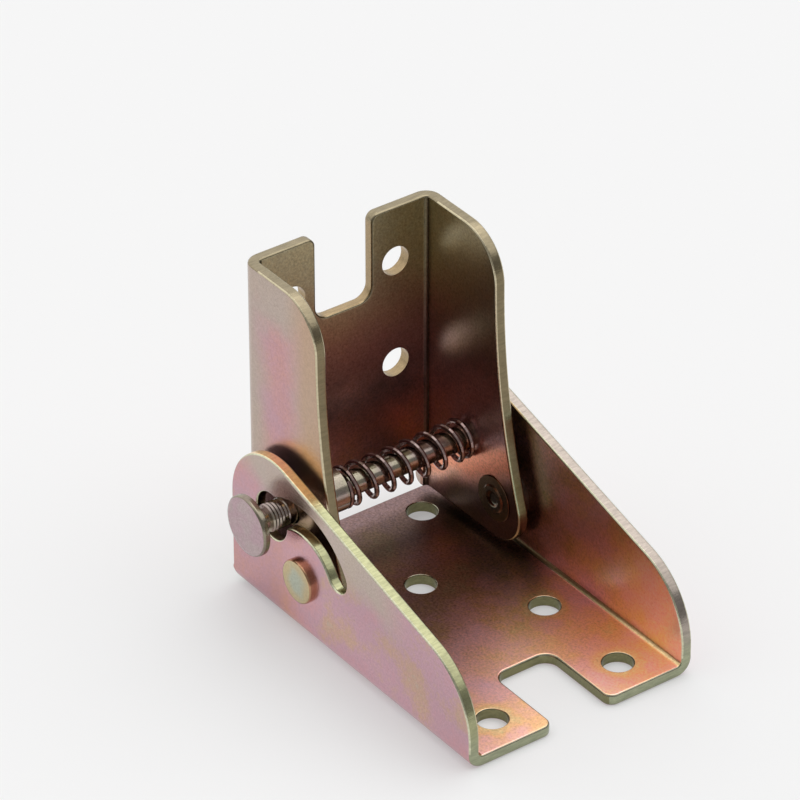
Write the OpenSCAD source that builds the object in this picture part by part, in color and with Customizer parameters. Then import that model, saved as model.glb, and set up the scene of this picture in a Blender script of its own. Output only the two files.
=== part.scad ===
// Folding table leg hinge: a base channel, a leg channel that folds down into it,
// two shoulder rivets and a sprung push button that crosses the leg channel.
// Frame: X towards the base's notched end, Z up, origin on the floor's underside
// at the middle of the centre screw hole. Y runs from the button's side to the other.

/* [Sheet metal] */
// Thickness of both folded brackets
sheet_t = 2; // [1.5:0.1:2.4]
// Inner radius of every fold
bend_in = 0.8; // [0.5:0.1:1.2]
// Diameter of every screw hole
screw_d = 5.2; // [4:0.1:6]
// Width of the open notch in the end of each bracket
notch_w = 10.9; // [8:0.1:12]
// Radius of each notch's inner corners
notch_in_r = 2.4; // [1:0.1:3.5]

/* [Base bracket] */
// Outer width across the side walls
base_w = 43.8; // [42:0.2:52]
// Front edge, measured from the centre screw hole
base_front = 42.1; // [41:0.1:60]
// Rear edge, measured from the centre screw hole
base_rear = 22.5; // [21.5:0.1:24]
// Distance of the side walls' rear edge in from the floor's rear edge
wall_setback = 1.2; // [0:0.1:2]
// Radius of the side walls' lower rear corner
base_heel_r = 3.6; // [1:0.1:4]
// Radius of the floor's rear corners
base_corner_r = 1.6; // [0.5:0.1:2.5]
// Height of the side walls at their rear hump
hump_h = 29.2; // [28:0.1:34]
// Radius of the rear hump
hump_r = 11.5; // [10:0.1:12.5]
// Height at which the side walls' front corner starts
nose_h = 18.6; // [17:0.1:24]
// Radius of the side walls' front corner
nose_r = 13.7; // [8:0.1:14.5]
// Depth of the notch in the floor's front edge
base_notch = 15.6; // [10:0.1:18]
// Radius of the corners at the floor notch's mouth
base_horn_r = 1.8; // [0.5:0.1:3]
// Distance of each paired floor hole from the middle line
floor_hole_y = 12.4; // [10:0.1:14]
// Place of the front pair of floor holes
front_hole_x = 35.4; // [33:0.1:38]
// Place of the middle pair of floor holes
mid_hole_x = 16.5; // [12:0.1:20]
// Place of the rear pair of floor holes, behind the centre hole
rear_hole_x = 16.4; // [12:0.1:18]

/* [Leg bracket] */
// Gap between each leg wall and the base wall beside it
side_gap = 1.5; // [1.3:0.1:2]
// Height of the leg bracket's top edge
leg_h = 59.2; // [56:0.1:80]
// Depth of the leg walls, from the back face to the upper front edge
leg_depth = 20.1; // [18:0.1:21]
// Radius of the leg walls' upper front corner
leg_corner_r = 8.5; // [4:0.1:9]
// Distance of each ear's front edge ahead of the pivot
ear_front = 6.5; // [5.6:0.1:7.5]
// Radius of each ear's lower front corner
ear_r = 6; // [5:0.1:6.5]
// Radius of each ear's lower rear corner
heel_r = 1.5; // [0.5:0.1:2.5]
// Clearance of the ears above the floor
ear_gap = 1.45; // [1:0.05:2]
// Height of the back plate's lower edge
plate_low = 9.6; // [8.5:0.1:12]
// Depth of the notch in the leg bracket's top edge
leg_notch = 15.5; // [10:0.1:17]
// Radius of the corners at the leg notch's mouth
leg_horn_r = 1.5; // [0.5:0.1:3]
// Distance of each leg screw hole from the middle line
leg_hole_y = 10.1; // [9:0.1:12]
// Height of the lower pair of leg screw holes
leg_hole_low = 29.9; // [28:0.1:32]
// Distance between the lower and the upper pair of leg screw holes
leg_hole_step = 19.3; // [12:0.1:21]

/* [Pivot] */
// Distance of the pivot behind the centre screw hole
pivot_back = 2.2; // [1:0.1:3]
// Height of the pivot
pivot_h = 10.8; // [10.6:0.1:11.4]
// Diameter of the pivot rivets' shank
rivet_d = 5; // [4:0.1:5.6]
// Diameter of the rivets' outer head
rivet_head_d = 7.6; // [7:0.1:9]
// Thickness of the rivets' outer head
rivet_head_t = 1.05; // [0.7:0.05:1.5]
// Diameter of the rivets' formed inner end
rivet_tail_d = 8.2; // [7:0.1:8.6]
// Thickness of the rivets' formed inner end
rivet_tail_t = 0.2; // [0.15:0.05:0.4]
// Diameter of the rolled rim round the dished middle of the formed end
rivet_rim_d = 4.6; // [4:0.1:5]
// Height of the rolled rim
rivet_rim_h = 0.25; // [0.1:0.05:0.4]
// Diameter of the washers between the walls
washer_d = 9.4; // [8:0.1:11]
// Running clearance of the leg bracket on the rivets and washers
pivot_clear = 0.05; // [0.02:0.01:0.1]

/* [Lock pin] */
// Distance of the lock pin from the pivot
pin_arm = 11.2; // [10.8:0.1:11.8]
// Angle of the lock pin above the forward horizontal, seen from the pivot
pin_angle = 136; // [132:1:139]
// Angle that the leg folds through
fold_angle = 90; // [60:1:95]
// Angle that the slot runs on past the folded place
slot_overrun = 15; // [5:1:18]
// Diameter of the round hole at the slot's locked end
lock_hole_d = 8.2; // [7:0.1:8.6]
// Diameter of the pin's ridged shank
shank_d = 4.8; // [4:0.1:5.2]
// Clearance of the ridged shank in the arc slot, all round
slot_clear = 0.1; // [0.05:0.01:0.2]
// Clearance of the pin in the leg ears, all round
ear_clear = 0.08; // [0.03:0.01:0.1]
// Length of the shank that stands outside the wall
shank_out = 1; // [0.5:0.1:1.2]
// Pitch of the ridges on the shank
ridge_pitch = 0.6; // [0.4:0.1:1.2]
// Depth of the ridges on the shank
ridge_depth = 0.16; // [0.1:0.02:0.3]
// Diameter of the neck behind the button
neck_d = 3.5; // [3:0.1:3.8]
// Diameter of the collar that the spring bears on
collar_d = 7.2; // [6.8:0.1:8]
// Length of the collar
collar_l = 7.4; // [5:0.1:9]
// Clearance of the collar from the ear that it rests against
collar_clear = 0.05; // [0.02:0.01:0.1]
// Diameter of the rod inside the spring
rod_d = 4.2; // [3.6:0.1:4.6]
// Clearance at each end of the pin's travel: shank to slotted wall, tip to far wall
travel_clear = 0.1; // [0.05:0.01:0.15]

/* [Push button] */
// Diameter of the button
button_d = 10.4; // [9:0.1:12]
// Thickness of the button
button_t = 1.3; // [1.1:0.1:2]
// Distance of the button from the wall when it is out
button_gap = 3.7; // [3.6:0.1:5]
// Rounded edge of the button
button_edge = 0.3; // [0.1:0.05:0.4]
// Length of the pin's end that is held in the button
spigot_l = 0.8; // [0.5:0.1:0.9]

/* [Spring] */
// Outer diameter of the spring
spring_d = 7.3; // [7:0.1:8]
// Diameter of the spring wire
wire_d = 0.9; // [0.6:0.05:1]
// Number of turns, the closed end turns included
spring_turns = 8.5; // [7:0.5:10]
// Angle at which the wire starts on the collar
spring_start = 47; // [0:1:359]
// How far the middle of the spring hangs down round the rod
spring_sag = 0.4; // [0:0.05:0.5]
// Space between the spring's ends and what they bear on
spring_clear = 0.05; // [0.02:0.01:0.1]

/* [Hidden] */
$fn = 96;
big = 200;
past = 1;

bend_out = sheet_t + bend_in;
wall_out = base_w / 2;
wall_in = wall_out - sheet_t;
ear_out = wall_in - side_gap;
ear_in = ear_out - sheet_t;
leg_w = 2 * ear_out;
ear_low = sheet_t + ear_gap;

// Circles of the base wall's outline: the rear hump and the front corner
hump = [wall_setback + hump_r - base_rear, hump_h - hump_r];
nose = [base_front - nose_r, nose_h - nose_r];

pivot = [-pivot_back, pivot_h];

// Circles of the leg wall's outline: the ear's round corner, and a long hollow flare that
// leaves the upper front edge and ends on the ear, tangent to both
leg_front = leg_depth - base_rear;
ear = [pivot[0] + ear_front - ear_r, ear_low + ear_r];
flare_z = leg_h - leg_corner_r;
ear_back = leg_front - ear[0];
flare_r = (pow(ear_back, 2) + pow(flare_z - ear[1], 2) - pow(ear_r, 2)) / (2 * (ear_r - ear_back));
flare = [leg_front + flare_r, flare_z];
flare_end = ear + (flare - ear) * ear_r / (flare_r + ear_r);

pin = pivot + pin_arm * [cos(pin_angle), sin(pin_angle)];
slot_w = shank_d + 2 * slot_clear;
slot_end = pin_angle - fold_angle - slot_overrun;

// Stations along the pin, from the button's face to the tip
button_back = wall_out + button_gap;
shank_start = wall_out + shank_out;
travel = shank_out + sheet_t + travel_clear;
tip_end = wall_in - travel - travel_clear;
collar_end = ear_in - collar_l;
spring_len = collar_end + ear_in - 2 * spring_clear;
coil_r = (spring_d - wire_d) / 2;

zinc = [0.74, 0.62, 0.53];
pin_steel = [0.6, 0.54, 0.47];
spring_steel = [0.42, 0.34, 0.3];

// Puts a flat outline, drawn in X and Z, upright between two places along Y
module upright(y0, y1) {
    translate([0, y1, 0]) rotate([90, 0, 0]) linear_extrude(y1 - y0) children();
}

// Revolves a profile of [radius, distance along Y] about a line along Y through [x, z]
module turned(at, profile) {
    translate([at[0], 0, at[1]]) rotate([-90, 0, 0]) rotate_extrude() polygon(profile);
}

// Round hole or rod along Y through [x, z]
module along_y(at, d, y0, y1) {
    translate([at[0], y0, at[1]]) rotate([-90, 0, 0]) cylinder(d = d, h = y1 - y0);
}

// Section of a folded channel: closed at v = 0, open upwards
module channel_section(w, h) {
    difference() {
        round_bottom(w, h, bend_out);
        translate([0, sheet_t]) round_bottom(w - 2 * sheet_t, h, bend_in);
    }
}

// Upright shape of width w whose two lower corners are round
module round_bottom(w, h, r) {
    translate([-w / 2, r]) square([w, h - r]);
    translate([r - w / 2, 0]) square([w - 2 * r, h]);
    for (s = [-1, 1]) translate([s * (w / 2 - r), r]) circle(r);
}

// Notch that opens upwards at v = depth, with round corners inside and at its mouth
module notch_shape(depth, horn_r) {
    round_bottom(notch_w, depth + past, notch_in_r);
    for (s = [-1, 1]) difference() {
        translate([s * (notch_w + horn_r) / 2, depth + (past - horn_r) / 2])
            square([horn_r, horn_r + past], center = true);
        translate([s * (notch_w / 2 + horn_r), depth - horn_r]) circle(horn_r);
    }
}

// Outline of the base seen from the side: hump, slope and front corner over the floor
module base_outline() {
    run = nose - hump;
    lean = atan2(run[1], run[0]) + acos((hump_r - nose_r) / norm(run));
    up = [cos(lean), sin(lean)];
    translate(hump) circle(hump_r);
    translate(nose) circle(nose_r);
    polygon([[-base_rear, 0], [base_front, 0], nose + [nose_r, 0], nose, nose + nose_r * up,
             hump + hump_r * up, hump, hump - [hump_r, 0],
             [wall_setback - base_rear, sheet_t], [-base_rear, sheet_t]]);
}

// Outline of the leg bracket seen from the side
module leg_outline() {
    corner = [leg_front - leg_corner_r, leg_h - leg_corner_r];
    translate([-base_rear, ear_low + heel_r]) square([corner[0] + base_rear, leg_h - ear_low - heel_r]);
    translate([heel_r - base_rear, ear_low]) square([ear[0] + base_rear - heel_r, flare_end[1] - ear_low]);
    translate([heel_r - base_rear, ear_low + heel_r]) circle(heel_r);
    translate(ear) circle(ear_r);
    translate(corner) circle(leg_corner_r);
    difference() {
        translate([-base_rear, flare_end[1]]) square([flare_end[0] + base_rear, flare[1] - flare_end[1]]);
        translate(flare) circle(flare_r, $fn = 720);
    }
}

// Keyhole of the button's wall: the round hole and the arc slot about the pivot
module keyhole() {
    translate(pin) circle(d = lock_hole_d);
    translate(pivot + pin_arm * [cos(slot_end), sin(slot_end)]) circle(d = slot_w);
    mid = (pin_angle + slot_end) / 2;
    translate(pivot) intersection() {
        difference() {
            circle(pin_arm + slot_w / 2);
            circle(pin_arm - slot_w / 2);
        }
        polygon([[0, 0], for (a = [slot_end, mid, pin_angle]) 3 * pin_arm * [cos(a), sin(a)]]);
    }
}

module base_bracket() {
    color(zinc) difference() {
        intersection() {
            translate([-base_rear, 0, 0]) rotate([90, 0, 90])
                linear_extrude(base_rear + base_front) channel_section(base_w, hump_h + past);
            upright(-wall_out - past, wall_out + past) base_outline();
        }
        translate([base_front - base_notch, 0, -past]) rotate([0, 0, -90])
            linear_extrude(sheet_t + 2 * past) notch_shape(base_notch, base_horn_r);
        screw_hole_down([0, 0]);
        for (x = [front_hole_x, mid_hole_x, -rear_hole_x], s = [-1, 1])
            screw_hole_down([x, s * floor_hole_y]);
        for (s = [-1, 1]) rear_corner(s);
        upright(-wall_out - past, -wall_in + past) keyhole();
        along_y(pivot, rivet_d, -wall_out - past, wall_out + past);
    }
}

// Clears the fold's rear end on the side s: round corners on the side wall and the floor
module rear_corner(s) {
    fold = wall_out - bend_out;
    heel = [wall_setback - base_rear + base_heel_r, base_heel_r];
    mirror([0, s < 0 ? 0 : 1, 0]) {
        upright(-wall_out - past, -fold) difference() {
            translate([-base_rear - past, -past]) square([heel[0] + base_rear + past, heel[1] + past]);
            translate(heel) circle(base_heel_r);
        }
        translate([base_corner_r - base_rear, base_corner_r - fold, -past])
            linear_extrude(sheet_t + 2 * past) difference() {
                translate([-base_corner_r - past, -base_corner_r])
                    square([base_corner_r + past, base_corner_r]);
                circle(base_corner_r);
            }
    }
}

module screw_hole_down(at) {
    translate([at[0], at[1], -past]) cylinder(d = screw_d, h = sheet_t + 2 * past);
}

module leg_bracket() {
    color(zinc) difference() {
        intersection() {
            translate([-base_rear, 0, 0]) rotate([0, 0, -90])
                linear_extrude(leg_h + past) channel_section(leg_w, big / 4);
            upright(-ear_out - past, ear_out + past) leg_outline();
        }
        back_cut() translate([0, leg_h - leg_notch]) notch_shape(leg_notch, leg_horn_r);
        back_cut() translate([0, plate_low]) mirror([0, 1])
            round_bottom(leg_w - 2 * bend_out, plate_low, heel_r);
        for (s = [-1, 1], z = [leg_hole_low, leg_hole_low + leg_hole_step])
            back_cut() translate([s * leg_hole_y, z]) circle(d = screw_d);
        along_y(pivot, rivet_d + 2 * pivot_clear, -ear_out - past, ear_out + past);
        along_y(pin, shank_d + 2 * ear_clear, -ear_out - past, -ear_in + past);
        along_y(pin, rod_d + 2 * ear_clear, ear_in - past, ear_out + past);
    }
}

// Cuts a shape, drawn in Y and Z, through the leg bracket's back plate
module back_cut() {
    translate([-base_rear - past, 0, 0]) rotate([90, 0, 90]) linear_extrude(bend_out + past) children();
}

// Shoulder rivet on the side s: head outside the wall, formed end inside the leg's ear
module pivot_rivet(s) {
    head = rivet_head_d / 2;
    tail = rivet_tail_d / 2;
    shank = rivet_d / 2;
    rim = rivet_rim_d / 2;
    dish = 0.7 * rim;
    edge = rivet_head_t / 5;
    tail_start = ear_in - pivot_clear;
    tail_end = tail_start - rivet_tail_t;
    bevel = rivet_tail_t / 2;
    color(pin_steel) mirror([0, s < 0 ? 0 : 1, 0]) turned(pivot, [
        [0, -wall_out - rivet_head_t], [head - edge, -wall_out - rivet_head_t],
        [head, edge - wall_out - rivet_head_t], [head, -wall_out],
        [shank, -wall_out], [shank, -tail_start], [tail, -tail_start], [tail, -tail_end - bevel],
        [tail - bevel, -tail_end], [rim + rivet_rim_h, -tail_end], [rim, rivet_rim_h - tail_end],
        [dish, rivet_rim_h - tail_end], [dish / 2, -tail_end - rivet_tail_t],
        [0, -tail_end - rivet_tail_t]]);
}

module left_pivot_rivet() {
    pivot_rivet(-1);
}

module right_pivot_rivet() {
    pivot_rivet(1);
}

// Washer on the side s, against the base wall; the leg's ear runs on its other face
module pivot_washer(s) {
    bore = rivet_d / 2 + pivot_clear;
    color(pin_steel) mirror([0, s < 0 ? 0 : 1, 0]) turned(pivot, [
        [bore, -wall_in], [washer_d / 2, -wall_in],
        [washer_d / 2, -ear_out - pivot_clear], [bore, -ear_out - pivot_clear]]);
}

module left_pivot_washer() {
    pivot_washer(-1);
}

module right_pivot_washer() {
    pivot_washer(1);
}

// Pin across the leg bracket: spigot, neck, ridged shank, collar, rod and tip
module lock_pin() {
    shank = shank_d / 2;
    root = shank - ridge_depth;
    rod = rod_d / 2;
    spigot = 0.8 * neck_d / 2;
    tip = 0.1 * rod_d;
    ridges = floor((shank_start - wall_in) / ridge_pitch);
    color(pin_steel) turned(pin, concat(
        [[0, -button_back - spigot_l], [spigot, -button_back - spigot_l], [spigot, -button_back],
         [neck_d / 2, -button_back], [neck_d / 2, -shank_start]],
        [for (i = [0:ridges - 1]) each [[root, i * ridge_pitch - shank_start],
                                        [shank, (i + 0.5) * ridge_pitch - shank_start]]],
        [[root, ridges * ridge_pitch - shank_start], [shank, (ridges + 0.3) * ridge_pitch - shank_start],
         [shank, collar_clear - ear_in], [collar_d / 2, collar_clear - ear_in],
         [collar_d / 2, -collar_end], [rod, -collar_end], [rod, tip_end - tip],
         [rod - tip, tip_end], [0, tip_end]]));
}

// Button with a blind bore that holds the pin's spigot
module push_button() {
    rim = button_d / 2;
    bore = 0.8 * neck_d / 2;
    face = button_back + button_t;
    color(pin_steel) turned(pin, [
        [0, -face], [rim - 2 * button_edge, -face], [rim - 0.6 * button_edge, 0.3 * button_edge - face],
        [rim, button_edge - face], [rim, -button_back - 0.4 * button_edge],
        [rim - 0.4 * button_edge, -button_back], [bore, -button_back],
        [bore, -button_back - spigot_l], [0, -button_back - spigot_l]]);
}

// Place of the spring wire's middle after u turns: closed end turns, open ones between
function coil_y(u) =
    let (closed = 1.2 * wire_d,
         whole = spring_len - wire_d,
         open = (whole - 2 * closed) / (spring_turns - 2),
         y = u < 1 ? closed * u
           : u > spring_turns - 1 ? whole - closed * (spring_turns - u)
           : closed + open * (u - 1))
    wire_d / 2 + spring_clear - collar_end + y;

module lock_spring() {
    steps = 24;
    sides = 8;
    rings = spring_turns * steps;
    points = [for (i = [0:rings], k = [0:sides - 1])
        let (a = spring_start - 360 * i / steps,
             b = 360 * k / sides,
             r = coil_r + wire_d / 2 * cos(b),
             sag = spring_sag * sin(180 * i / rings))
        [pin[0] + r * cos(a), coil_y(i / steps) + wire_d / 2 * sin(b), pin[1] + r * sin(a) - sag]];
    faces = concat(
        [[for (k = [sides - 1:-1:0]) k]],
        [for (i = [0:rings - 1], k = [0:sides - 1])
            let (n = (k + 1) % sides)
            [i * sides + k, i * sides + n, (i + 1) * sides + n, (i + 1) * sides + k]],
        [[for (k = [0:sides - 1]) rings * sides + k]]);
    color(spring_steel) polyhedron(points, faces);
}

base_bracket();
leg_bracket();
left_pivot_rivet();
right_pivot_rivet();
left_pivot_washer();
right_pivot_washer();
lock_pin();
push_button();
lock_spring();
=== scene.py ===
"""Folding table leg hinge in iridescent zinc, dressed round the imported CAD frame."""
import math

import bmesh
import bpy
from mathutils import Matrix, Vector


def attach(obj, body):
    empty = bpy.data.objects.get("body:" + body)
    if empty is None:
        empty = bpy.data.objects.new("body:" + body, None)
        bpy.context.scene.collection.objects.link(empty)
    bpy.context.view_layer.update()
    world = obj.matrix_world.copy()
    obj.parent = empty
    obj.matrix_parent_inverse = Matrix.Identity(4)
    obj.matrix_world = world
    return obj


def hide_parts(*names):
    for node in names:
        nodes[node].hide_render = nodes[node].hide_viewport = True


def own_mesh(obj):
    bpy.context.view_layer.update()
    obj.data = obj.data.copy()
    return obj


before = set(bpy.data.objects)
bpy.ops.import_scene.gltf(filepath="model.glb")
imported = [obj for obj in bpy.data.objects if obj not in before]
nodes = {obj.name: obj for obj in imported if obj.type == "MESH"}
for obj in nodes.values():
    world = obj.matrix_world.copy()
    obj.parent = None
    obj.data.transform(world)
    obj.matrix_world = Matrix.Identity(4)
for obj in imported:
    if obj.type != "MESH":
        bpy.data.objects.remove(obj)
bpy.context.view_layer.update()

# Places on the part, in millimetres
FLOOR_HOLE_Y = 12.4
MID_HOLE_X = 16.5
FRONT_HOLE_X = 35.4
FLOOR_HOLES = ((0, 0), (-16.4, FLOOR_HOLE_Y), (MID_HOLE_X, FLOOR_HOLE_Y), (FRONT_HOLE_X, FLOOR_HOLE_Y))
PLATE_HOLE_Y = 10.1
PLATE_HOLES_Z = (29.9, 49.2)
PIVOT = (-2.2, 10.8)
# How far the base walls' sloped edge falls for each millimetre towards the front
BASE_SLOPE = 0.2766
# The brackets' inner faces, with their rounded edges, end at this distance from the middle plane
BASE_INNER_Y = 20.4
LEG_INNER_Y = 16.9

# Radii of the rounded edges, in millimetres
SHEET_EDGE = 0.4
HOLE_EDGE = 0.2
BUTTON_EDGE = 0.25
RIVET_EDGE = 0.2
# Corners closer than this, in metres, are one; faces that turn less than the first angle are one
# flat, and edges that turn more than the second are sharp
WELD = 0.000002
FLAT_ANGLE = math.radians(0.3)
SHARP_ANGLE = math.radians(40)

# Tints that a clear zinc passivation takes as its film grows thicker
FILM = ((0.00, (0.50, 0.50, 0.36)), (0.14, (0.64, 0.52, 0.27)), (0.30, (0.70, 0.40, 0.21)),
        (0.46, (0.67, 0.36, 0.31)), (0.62, (0.62, 0.355, 0.385)), (0.75, (0.58, 0.365, 0.42)),
        (0.87, (0.60, 0.395, 0.30)), (1.00, (0.53, 0.47, 0.41)))
# Washes over the film
BROWN = (0.50, 0.38, 0.29)
OLIVE = (0.50, 0.43, 0.27)
MAROON = (0.50, 0.33, 0.29)
# The ember tint is not a wash of the film: it colours a painted glow on the far ear.
PAINTED_GLOW = (0.55, 0.21, 0.13)
SILVER = (0.53, 0.465, 0.38)
STRAW = (0.56, 0.41, 0.26)
# Sheared edges and their rounded borders
BASE_EDGE = (0.35, 0.35, 0.20)
BASE_EDGE_FAR = (0.36, 0.31, 0.27)
# The hump's edge tint is partly a painted highlight, far brighter than the other edges.
BASE_EDGE_HUMP_HIGHLIGHT = (0.95, 0.68, 0.35)
BASE_EDGE_LOW = (0.34, 0.36, 0.24)
BASE_EDGE_HOLE = (0.22, 0.21, 0.11)
BASE_BURR = (0.62, 0.61, 0.44)
BASE_LIP = (0.36, 0.34, 0.25)
LEG_EDGE = (0.31, 0.26, 0.17)
LEG_EDGE_BACK = (0.38, 0.28, 0.16)
LEG_EDGE_FRONT = (0.21, 0.17, 0.10)
LEG_EDGE_EAR = (0.25, 0.35, 0.21)
LEG_BURR = (0.58, 0.51, 0.35)
# Turned pieces: each pair drifts from one tint to the other
RIVET_FACE = ((0.47, 0.50, 0.40), (0.58, 0.47, 0.27))
RIVET_SIDE = ((0.52, 0.26, 0.14), (0.48, 0.27, 0.16))
BUTTON_FACE = ((0.46, 0.32, 0.35), (0.46, 0.36, 0.36))
BUTTON_SIDE = ((0.30, 0.27, 0.20), (0.27, 0.22, 0.18))
PIN = ((0.40, 0.36, 0.27), (0.36, 0.29, 0.26))
# The washers are painted near black as painted shade for the gap they sit in.
PAINTED_SHADE_WASHER = ((0.10, 0.09, 0.07), (0.12, 0.08, 0.06))
WIRE = ((0.30, 0.20, 0.18), (0.42, 0.32, 0.30))

FLOOR_COLOUR = (0.87, 0.87, 0.87)
FLOOR_GLOW = 0.92
FLOOR_GLOW_SHARE = 0.3
SKY_FROM = (-0.75, 0.0, 0.66)
SKY_DIM = 0.33
SKY_BRIGHT = 1.2
KEY_DIRECTION = (-0.16, -0.47, -0.95)
KEY_STRENGTH = 1.12
KEY_ANGLE = 74

# The camera, solved from the photograph's edges and holes
FRAME_PX = 800
FOCAL_PX = 5378.025
AZIMUTH = math.radians(53.736)
ELEVATION = math.radians(33.66)
ROLL = math.radians(-0.103)
CAMERA_AT = (0.564958, -0.418531, 0.505715)
SENSOR = 36


class Net:
    """A material's node tree, with short ways to add the usual nodes."""

    def __init__(self, name, metallic, roughness):
        self.mat = bpy.data.materials.new(name)
        self.mat.use_nodes = True
        self.tree = self.mat.node_tree
        self.bsdf = self.tree.nodes["Principled BSDF"]
        self.bsdf.inputs["Metallic"].default_value = metallic
        self.bsdf.inputs["Roughness"].default_value = roughness

    def put(self, socket, value):
        """Links the value into the socket where it is a socket too, and sets it otherwise."""
        if isinstance(value, bpy.types.NodeSocket):
            self.tree.links.new(value, socket)
        elif value is not None:
            socket.default_value = value

    def node(self, kind, *inputs, **values):
        """A new node: inputs fill its sockets in order, values its properties or named sockets."""
        n = self.tree.nodes.new("ShaderNode" + kind)
        for key, value in values.items():
            if hasattr(n, key):
                setattr(n, key, value)
            else:
                self.put(n.inputs[key], value)
        for socket, value in zip(n.inputs, inputs):
            self.put(socket, value)
        return n

    def calc(self, operation, *inputs, clamp=False):
        return self.node("Math", *inputs, operation=operation, use_clamp=clamp).outputs[0]

    def chain(self, operation, first, *others):
        out = first
        for other in others:
            out = self.calc(operation, out, other)
        return out

    def plus(self, *values):
        return self.chain("ADD", *values)

    def minus(self, a, b):
        return self.calc("SUBTRACT", a, b)

    def times(self, *values):
        return self.chain("MULTIPLY", *values)

    def size(self, value):
        return self.calc("ABSOLUTE", value)

    def length(self, a, b):
        return self.calc("SQRT", self.plus(self.times(a, a), self.times(b, b)))

    def above(self, value, limit):
        return self.calc("GREATER_THAN", value, limit)

    def below(self, value, limit):
        return self.calc("LESS_THAN", value, limit)

    def between(self, value, low, high):
        return self.times(self.above(value, low), self.below(value, high))

    def all_of(self, *masks):
        return self.chain("MULTIPLY", *masks)

    def any_of(self, *masks):
        return self.chain("MAXIMUM", *masks)

    def step(self, value, low, high):
        """0 at low and 1 at high, smooth between; low may be the larger."""
        return self.node("MapRange", value, low, high, interpolation_type="SMOOTHSTEP").outputs[0]

    def scaled(self, value, low, high):
        """Maps a noise's usual span, 0.3 to 0.7, to low and high."""
        return self.node("MapRange", value, 0.3, 0.7, low, high).outputs[0]

    def about_zero(self, noise, amount):
        """The noise less its middle, times amount."""
        return self.times(self.minus(noise, 0.5), amount)

    def blend(self, factor, a, b):
        """A number between a and b."""
        return self.node("Mix", factor, None, a, b, data_type="FLOAT").outputs[0]

    def dim(self, mask, value, share):
        """The value, cut to a share of itself where the mask is 1."""
        return self.blend(mask, value, self.times(value, share))

    def mix(self, factor, a, b, how="MIX"):
        """A colour between a and b, or their product."""
        n = self.node("Mix", factor, data_type="RGBA", blend_type=how)
        for socket, value in ((n.inputs[6], a), (n.inputs[7], b)):
            self.put(socket, value if isinstance(value, bpy.types.NodeSocket) else (*value, 1))
        return n.outputs[2]

    def shaded(self, colour, shade):
        grey = self.node("CombineColor", shade, shade, shade).outputs[0]
        return self.mix(1.0, colour, grey, how="MULTIPLY")

    def ramp(self, value, stops):
        n = self.node("ValToRGB", value)
        points = n.color_ramp.elements
        for i, (place, tint) in enumerate(stops):
            point = points[i] if i < 2 else points.new(place)
            point.position = place
            point.color = (*tint, 1)
        return n.outputs[0]

    def noise(self, spot, scale, detail=2.0, rough=0.5, offset=0.0):
        moved = self.node("VectorMath", spot, (offset, 0.7 * offset, 1.3 * offset), operation="ADD")
        n = self.node("TexNoise", Vector=moved.outputs[0], Scale=scale, Detail=detail, Roughness=rough)
        return n.outputs[0]

    def place(self):
        """Object coordinates in millimetres, whole and split, and the surface normal, split."""
        coords = self.node("TexCoord").outputs
        spot = self.node("VectorMath", coords["Object"], operation="SCALE", Scale=1000).outputs[0]
        normal = self.node("SeparateXYZ", coords["Normal"])
        return spot, self.node("SeparateXYZ", spot).outputs, normal.outputs

    def finish(self, colour, bump=None, strength=0.0):
        self.put(self.bsdf.inputs["Base Color"], colour)
        if bump is not None:
            n = self.node("Bump", Strength=strength, Distance=0.00005, Height=bump)
            self.put(self.bsdf.inputs["Normal"], n.outputs[0])
        return self.mat


def zinc(name, dress):
    """Passivated zinc: a film of drifting thickness with a fine grain, and sheared edges.

    dress gives the film's thickness, its wash and a multiplier of its tone, which is mostly painted light
    and painted shade, by place on the part."""
    net = Net(name, 1.0, 0.3)
    spot, p, n = net.place()
    wide = net.noise(spot, 0.05, 1.0, 0.4)
    drift = net.noise(spot, 0.13, 3.0, 0.5, offset=40)
    grain = net.noise(spot, 2.4, 4.0, 0.75, offset=11)
    speck = net.noise(spot, 1.3, 2.0, 0.6, offset=23)
    look = dress(net, p, n, wide, drift)
    film = net.plus(look["film"], net.times(net.about_zero(speck, 0.26), look["speck"]))
    colour = net.mix(look["wash_share"], net.ramp(film, FILM), look["wash"])
    colour = net.mix(look["shear"], colour, look["edge"])
    drawn = net.node("VectorMath", spot, (2.2, 0.45, 2.2), operation="MULTIPLY").outputs[0]
    streak = net.noise(drawn, 1.0, 4.0, 0.7, offset=5)
    pitted = net.calc("MULTIPLY_ADD", net.minus(grain, 0.5), look["pits"], 1.0)
    # The tone is multiplied by place; the multiplier is mostly painted light and painted shade.
    shade = net.blend(look["shear"], net.times(pitted, look["depth"]), net.scaled(streak, 0.78, 1.18))
    satin = net.blend(look["inner"], 0.25, 0.31)
    net.put(net.bsdf.inputs["Roughness"], net.blend(look["shear"], satin, 0.22))
    return net.finish(net.shaded(colour, shade), net.blend(look["shear"], grain, streak), strength=0.4)


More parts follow.
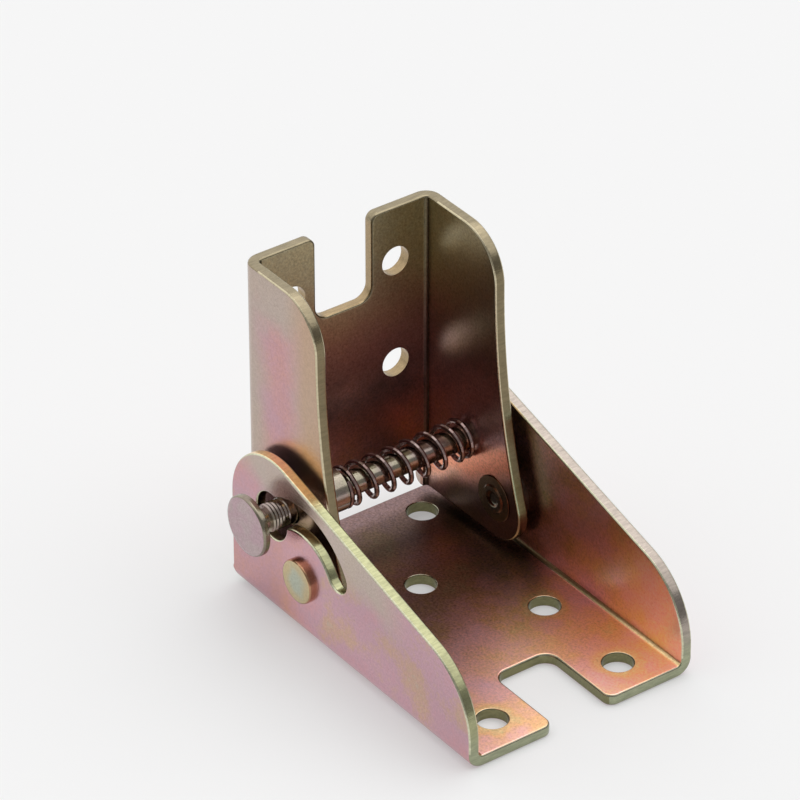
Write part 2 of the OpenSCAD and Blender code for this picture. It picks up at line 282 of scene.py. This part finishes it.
def dress_base(net, p, n, wide, drift):
    """Mauve outside with silver along the top edge and painted light low down; inside, painted shade
    makes it deep at the rear and painted light makes it warm and bright in front.
    """
    x, z = p[0], p[2]
    y = net.size(p[1])
    sideways = net.size(n[1])
    wall = net.above(sideways, 0.9)
    inner = net.all_of(net.below(y, BASE_INNER_Y), net.above(n[2], -0.5))
    slope = net.plus(net.times(x, BASE_SLOPE), z)
    along = net.plus(x, net.about_zero(drift, 22), net.times(p[1], 0.4))
    rear = net.step(x, -16.5, -20)
    fold = net.all_of(net.above(sideways, 0.25), net.above(n[2], 0.25), net.below(y, 20.2))

    outer_film = net.plus(0.66, net.about_zero(wide, 0.9), net.about_zero(drift, 0.55))
    # Painted light and shade outside: the lower part of the walls is painted brighter and the rear
    # darker.
    outer_depth = net.blend(net.step(slope, 8, 20), 1.18, 1.0)
    outer_depth = net.blend(net.step(x, 0, -11), outer_depth, 0.92)
    silver = net.all_of(net.step(net.plus(slope, net.about_zero(drift, 6)), 17.5, 23),
                        net.step(x, 28, 17))

    inner_film = net.plus(0.40, net.about_zero(wide, 0.3), net.about_zero(drift, 0.8))
    # Yellow rings where the film is thin round the four front holes
    hole_x = net.size(net.minus(x, (FRONT_HOLE_X + MID_HOLE_X) / 2))
    hole_x = net.minus(hole_x, (FRONT_HOLE_X - MID_HOLE_X) / 2)
    ring = net.plus(net.length(hole_x, net.minus(y, FLOOR_HOLE_Y)), net.about_zero(drift, 5))
    inner_film = net.blend(net.times(net.step(ring, 5.5, 3.0), 0.6), inner_film, 0.15)
    inner_film = net.blend(rear, inner_film, 0.62)
    inner_film = net.blend(fold, inner_film, 0.2)
    inner_film = net.blend(net.all_of(wall, net.step(x, 36, 41.5)), inner_film, 0.48)

    # Painted light and shade inside: the front is painted brighter; the floor between the leg's ears is
    # painted darker as its shadow; the rear, the bend and the walls' rear parts are painted darker as
    # shade.
    inner_depth = net.blend(net.step(along, 3, 24), 0.65, 1.32)
    inner_depth = net.blend(net.step(along, 30, 46), inner_depth, 1.65)
    inner_depth = net.blend(net.step(x, -5, -12), inner_depth, 0.2)
    inner_depth = net.blend(rear, inner_depth, 0.36)
    inner_depth = net.dim(fold, inner_depth, net.blend(net.step(x, 14, 36), 0.3, 0.8))
    inner_depth = net.dim(net.all_of(wall, net.step(along, 26, 8)), inner_depth, 0.78)

    top = net.all_of(net.above(y, 19.75), net.below(sideways, 0.6), net.above(z, 2.6))
    end = net.above(net.size(n[0]), 0.5)
    rim = net.all_of(net.between(z, 0.1, 1.9), net.below(y, 19), net.below(net.size(n[2]), 0.6))
    lip = net.all_of(net.between(n[2], 0.3, 0.9), net.between(z, 1.3, 2.03), net.below(y, 19))
    burr = net.any_of(net.all_of(net.between(sideways, 0.3, 0.9), net.above(z, 3.2)), lip)
    # The hump's top edge is painted bright orange-gold: its tint plus a painted highlight where it faces
    # the light.
    hump_highlight = net.all_of(net.step(x, 3, -3), net.step(z, 18, 23))
    edge = net.mix(hump_highlight, BASE_EDGE, BASE_EDGE_HUMP_HIGHLIGHT)
    edge = net.mix(net.above(p[1], 0), edge, BASE_EDGE_FAR)
    edge = net.mix(net.step(net.plus(z, net.about_zero(drift, 6)), 9, 2), edge, BASE_EDGE_LOW)
    edge = net.mix(net.all_of(rim, net.below(x, 41.5)), edge, BASE_EDGE_HOLE)
    edge = net.mix(burr, edge, BASE_BURR)
    edge = net.mix(lip, edge, BASE_LIP)

    fore = net.step(along, 4, 26)
    # How much wash lies over the film: silver near the top edge outside, brown inside towards the rear.
    wash_share = net.times(net.blend(inner, silver, net.step(along, 14, 2)), net.blend(inner, 0.8, 0.35))
    return {"film": net.blend(inner, outer_film, inner_film),
            "depth": net.blend(inner, outer_depth, inner_depth),
            "pits": net.blend(inner, 0.6, net.blend(fore, 2.5, 1.2)),
            "speck": net.blend(inner, 0.8, net.blend(fore, 1.3, 0.6)),
            "wash_share": wash_share, "wash": net.mix(inner, SILVER, BROWN),
            "shear": net.any_of(top, end, rim, burr), "edge": edge, "inner": inner}


def dress_leg(net, p, n, wide, drift):
    """Pink outside between silver edges; inside olive at the top and maroon lower down, darkened with
    painted shade, with a painted glow on the far ear.
    """
    x, z = p[0], p[2]
    y = net.size(p[1])
    far = net.above(p[1], 0)
    sideways = net.size(n[1])
    inner = net.all_of(net.below(y, LEG_INNER_Y), net.above(x, -21.2))
    height = net.plus(z, net.about_zero(drift, 16))
    upper = net.step(height, 28, 50)
    fold = net.all_of(net.above(sideways, 0.2), net.above(n[0], 0.2), net.below(y, LEG_INNER_Y))
    # Painted light: the far ear's upper part is painted brighter and ember-orange, as if it caught the
    # floor's glow, on a thicker film
    tilt = net.plus(net.minus(z, net.times(x, 0.5)), net.about_zero(drift, 4))
    painted_glow = net.all_of(net.step(tilt, 14, 18), net.step(tilt, 24.5, 20), far)
    # Below the painted glow, the far ear is painted darker, as shade.
    low = net.all_of(net.step(tilt, 17, 12.5), far)

    outer_film = net.plus(0.58, net.about_zero(wide, 0.4), net.about_zero(drift, 0.4))
    side = net.plus(x, net.about_zero(drift, 5))
    silver = net.any_of(net.step(side, -12, -5),
                        net.all_of(net.step(side, -14, -20), net.above(sideways, 0.5)),
                        net.step(net.plus(z, net.about_zero(drift, 14)), 46, 56))
    outer_wash = net.mix(net.step(side, -11, -5), SILVER, STRAW)

    inner_film = net.blend(upper, 0.58, 0.1)
    inner_film = net.blend(net.step(height, 22, 14), inner_film, 0.42)
    inner_film = net.plus(inner_film, net.about_zero(drift, 0.35))
    inner_film = net.blend(painted_glow, inner_film, 0.33)
    # Painted shade inside the leg: the plate is painted darkest part way up, and the walls darker towards
    # the top.
    plate_depth = net.blend(upper, 0.46, 0.64)
    plate_depth = net.blend(net.step(height, 30, 20), plate_depth, 0.85)
    wall_depth = net.blend(net.step(height, 39, 28), 0.62, 0.95)
    inner_depth = net.blend(net.above(sideways, 0.9), plate_depth, wall_depth)
    # Painted shade on the far ear below the glow.
    inner_depth = net.dim(low, inner_depth, 0.24)
    # The painted glow on the far ear's upper part, painted brighter.
    inner_depth = net.blend(painted_glow, inner_depth, 1.5)
    # Painted shade: the inner bends are painted darker.
    inner_depth = net.dim(fold, inner_depth, 0.42)
    # The painted glow also takes most of the wash, in its ember colour.
    inner_wash_share = net.blend(painted_glow, net.blend(net.step(height, 20, 30), 0.3, 0.75), 0.85)
    inner_wash = net.mix(painted_glow, net.mix(net.step(height, 30, 50), MAROON, OLIVE), PAINTED_GLOW)

    front = net.all_of(net.above(y, 16.3), net.above(n[0], 0.4))
    plate = net.all_of(net.below(x, -20.3), net.below(net.size(n[0]), 0.6), net.below(y, 13))
    burr = net.all_of(net.between(sideways, 0.3, 0.9), net.above(x, -18))
    far_ear = net.all_of(net.step(z, 30, 20), net.step(z, 9, 11.5), net.above(n[0], 0.3), far)
    edge = net.mix(net.step(n[0], 0.75, 0.97), LEG_EDGE, LEG_EDGE_FRONT)
    edge = net.mix(far_ear, edge, LEG_EDGE_EAR)
    edge = net.mix(net.all_of(plate, net.step(z, 58.6, 57.2)), edge, LEG_EDGE_BACK)
    edge = net.mix(net.times(burr, net.blend(net.step(z, 26, 14), 1.0, 0.45)), edge, LEG_BURR)

    return {"film": net.blend(inner, outer_film, inner_film),
            "depth": net.blend(inner, 0.86, inner_depth),
            "pits": net.blend(inner, 0.6, 1.7),
            "speck": net.blend(inner, 0.8, 1.0),
            "wash_share": net.blend(inner, net.times(silver, 0.8), inner_wash_share),
            "wash": net.mix(inner, outer_wash, inner_wash),
            "shear": net.any_of(net.above(net.size(n[2]), 0.4), front, plate, burr),
            "edge": edge, "inner": inner}


def turned(name, face, side, roughness, inner=1.0, centre=None):
    """Turned steel: its flat faces take one pair of tints, its sides another.

    Painted shade: what lies between the leg's ears is darkened to inner's share of the tone. The tints
    drift from place to place, or outwards from the centre where one is given."""
    net = Net(name, 1.0, roughness)
    spot, p, n = net.place()
    drift = net.noise(spot, 0.22)
    if centre:
        away = net.length(net.minus(p[0], centre[0]), net.minus(p[2], centre[1]))
        drift = net.step(net.plus(away, net.about_zero(drift, 6)), 0.2, 3.4)
    else:
        drift = net.step(drift, 0.38, 0.62)
    flat = net.above(net.size(n[1]), 0.9)
    colour = net.mix(flat, net.mix(drift, *side), net.mix(drift, *face))
    grain = net.noise(spot, 3.0, 3.0, 0.7)
    painted_shade_inside = net.blend(net.below(net.size(p[1]), 17.0), 1.0, inner)
    return net.finish(net.shaded(colour, net.times(net.scaled(grain, 0.84, 1.14), painted_shade_inside)),
                      grain, strength=0.25)


def wire(name):
    """Dark glossy spring wire."""
    net = Net(name, 1.0, 0.22)
    drift = net.noise(net.place()[0], 0.5)
    return net.finish(net.mix(net.step(drift, 0.3, 0.7), *WIRE))


def paint(o, mat):
    o.data.materials.clear()
    o.data.materials.append(mat)


def sharp_edges(bm):
    """Each sharp edge between two faces, with its middle in millimetres."""
    return [(e, (e.verts[0].co + e.verts[1].co) * 500) for e in bm.edges
            if len(e.link_faces) == 2 and e.calc_face_angle() > SHARP_ANGLE]


def in_order(bm):
    """The corners and faces by place, since rounding leaves them in another order each run."""
    corners = sorted(bm.verts, key=lambda v: tuple(v.co))
    number = {v: i for i, v in enumerate(corners)}
    faces = sorted([number[v] for v in face.verts] for face in bm.faces)
    return [v.co for v in corners], [], faces


def rounded(name, body, passes):
    """The node's own shape with the edges that each pass picks rounded to its radius."""
    bm = bmesh.new()
    bm.from_mesh(nodes[name].data)
    bmesh.ops.remove_doubles(bm, verts=bm.verts, dist=WELD)
    bmesh.ops.dissolve_limit(bm, angle_limit=FLAT_ANGLE, verts=bm.verts, edges=bm.edges)
    for radius, picks in passes:
        edges = [e for e, at in sharp_edges(bm) if picks(at)]
        bmesh.ops.bevel(bm, geom=edges, offset=radius / 1000, offset_type="OFFSET", segments=3,
                        profile=0.5, affect="EDGES", clamp_overlap=False, loop_slide=False)
    mesh = bpy.data.meshes.new(name + "_rounded")
    mesh.from_pydata(*in_order(bm))
    bm.clear()
    bm.from_mesh(mesh)
    for face in bm.faces:
        face.smooth = True
    for e, at in sharp_edges(bm):
        e.smooth = False
    bm.to_mesh(mesh)
    bm.free()
    o = bpy.data.objects.new(name + "_rounded", mesh)
    bpy.context.collection.objects.link(o)
    m = o.modifiers.new("flats", "WEIGHTED_NORMAL")
    m.keep_sharp = True
    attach(o, body)
    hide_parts(name)
    return o


def floor_hole(at):
    """Near a screw hole in the base's floor."""
    return at.z < 2.1 and any(math.hypot(at.x - x, abs(at.y) - y) < 3 for x, y in FLOOR_HOLES)


def base_edge(at):
    """Any other edge of the base, but for the rear corners where floor and walls are cut together."""
    return not floor_hole(at) and not (at.x < -17.4 and abs(at.y) > 18.9 and at.z < 3)


def leg_edge(at):
    """Any edge of the leg, but for its plate's holes and the corners where the plate ends."""
    hole = any(math.hypot(abs(at.y) - PLATE_HOLE_Y, at.z - z) < 3 for z in PLATE_HOLES_Z)
    foot = at.x < -19.5 and abs(at.y) > 15.3 and at.z < 11.2
    return not (at.x < -20.2 and hole) and not foot


def sprung(name, body):
    """A copy of the node's own shape that rides with the body, in the node's place."""
    o = nodes[name].copy()
    o.data = nodes[name].data.copy()
    o.name = name + "_coil"
    bpy.context.collection.objects.link(o)
    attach(o, body)
    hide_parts(name)
    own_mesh(o)
    return o


def floor_material():
    """Matt and pale; what the camera and the metal see of it is part its own light, so that
    shadows stay light."""
    net = Net("floor", 0.0, 0.9)
    net.bsdf.inputs["Base Color"].default_value = (*FLOOR_COLOUR, 1)
    net.bsdf.inputs["Specular IOR Level"].default_value = 0.0
    path = net.node("LightPath").outputs
    seen = net.calc("ADD", path["Is Camera Ray"], path["Is Glossy Ray"])
    seen = net.calc("ADD", seen, path["Is Transmission Ray"], clamp=True)
    glow = net.node("Emission", Color=(1, 1, 1, 1), Strength=FLOOR_GLOW)
    cover = net.node("MixShader", net.times(seen, FLOOR_GLOW_SHARE), net.bsdf.outputs[0], glow.outputs[0])
    net.put(net.tree.nodes["Material Output"].inputs["Surface"], cover.outputs[0])
    return net.mat


def studio_world():
    """A broad soft light behind and above the object; the side that the camera stands on is dim."""
    world = bpy.data.worlds.new("studio")
    world.use_nodes = True
    tree = world.node_tree
    background = tree.nodes["Background"]
    background.inputs["Color"].default_value = (1, 1, 1, 1)
    heading = tree.nodes.new("ShaderNodeTexCoord")
    toward = tree.nodes.new("ShaderNodeVectorMath")
    toward.operation = "DOT_PRODUCT"
    toward.inputs[1].default_value = Vector(SKY_FROM).normalized()
    glow = tree.nodes.new("ShaderNodeMapRange")
    glow.interpolation_type = "SMOOTHSTEP"
    for socket, value in zip(glow.inputs[1:5], (0.1, 0.95, SKY_DIM, SKY_BRIGHT)):
        socket.default_value = value
    tree.links.new(heading.outputs["Generated"], toward.inputs[0])
    tree.links.new(toward.outputs["Value"], glow.inputs[0])
    tree.links.new(glow.outputs[0], background.inputs["Strength"])
    return world


def camera_turn():
    """The camera's axes, from the direction it looks back along and its roll."""
    back = Vector((math.sin(AZIMUTH) * math.cos(ELEVATION), -math.cos(AZIMUTH) * math.cos(ELEVATION),
                   math.sin(ELEVATION)))
    right = Vector((math.cos(AZIMUTH), math.sin(AZIMUTH), 0))
    up = back.cross(right)
    across = math.cos(ROLL) * right + math.sin(ROLL) * up
    upright = math.cos(ROLL) * up - math.sin(ROLL) * right
    return Matrix((across, upright, back)).transposed().to_4x4()


base = rounded("base_bracket", "base", ((SHEET_EDGE, base_edge), (HOLE_EDGE, floor_hole)))
leg = rounded("leg_bracket", "leg", ((SHEET_EDGE, leg_edge),))
button = rounded("push_button", "plunger", ((BUTTON_EDGE, lambda at: at.y < -26.5),))
rivets = [rounded(side + "_pivot_rivet", "base",
                  ((RIVET_EDGE, lambda at: abs(at.y) > 22.6),)) for side in ("left", "right")]
spring = sprung("lock_spring", "leg")

paint(base, zinc("zinc_base", dress_base))
paint(leg, zinc("zinc_leg", dress_leg))
# The rivets' inner ends, between the leg's ears, get painted shade: 0.28 of their tone.
rivet_zinc = turned("zinc_rivet", RIVET_FACE, RIVET_SIDE, 0.2, inner=0.28, centre=PIVOT)
for rivet in rivets:
    paint(rivet, rivet_zinc)
# Painted shade: the washers sit in the dark gap between wall and ear and are painted near black.
shaded_washer = turned("washer_painted_shade", PAINTED_SHADE_WASHER, PAINTED_SHADE_WASHER, 0.5)
for side in ("left", "right"):
    paint(nodes[side + "_pivot_washer"], shaded_washer)
# The pin's length between the ears gets a little painted shade.
paint(nodes["lock_pin"], turned("zinc_pin", PIN, PIN, 0.18, inner=0.9))
paint(button, turned("zinc_button", BUTTON_FACE, BUTTON_SIDE, 0.18))
paint(spring, wire("spring_wire"))

bpy.ops.mesh.primitive_plane_add(size=6, location=(0, 0, -0.00002))
floor = bpy.context.object
floor.name = "floor"
floor.data.materials.append(floor_material())

key = bpy.data.objects.new("key", bpy.data.lights.new("key", "SUN"))
key.data.energy = KEY_STRENGTH
key.data.angle = math.radians(KEY_ANGLE)
key.rotation_euler = Vector(KEY_DIRECTION).to_track_quat("-Z", "Y").to_euler()
bpy.context.collection.objects.link(key)

camera = bpy.data.objects.new("camera", bpy.data.cameras.new("camera"))
camera.data.sensor_width = SENSOR
camera.data.lens = SENSOR * FOCAL_PX / FRAME_PX
camera.data.clip_end = 20
camera.matrix_world = Matrix.Translation(CAMERA_AT) @ camera_turn()
bpy.context.collection.objects.link(camera)

scene = bpy.context.scene
scene.world = studio_world()
scene.camera = camera
scene.view_settings.view_transform = "Standard"
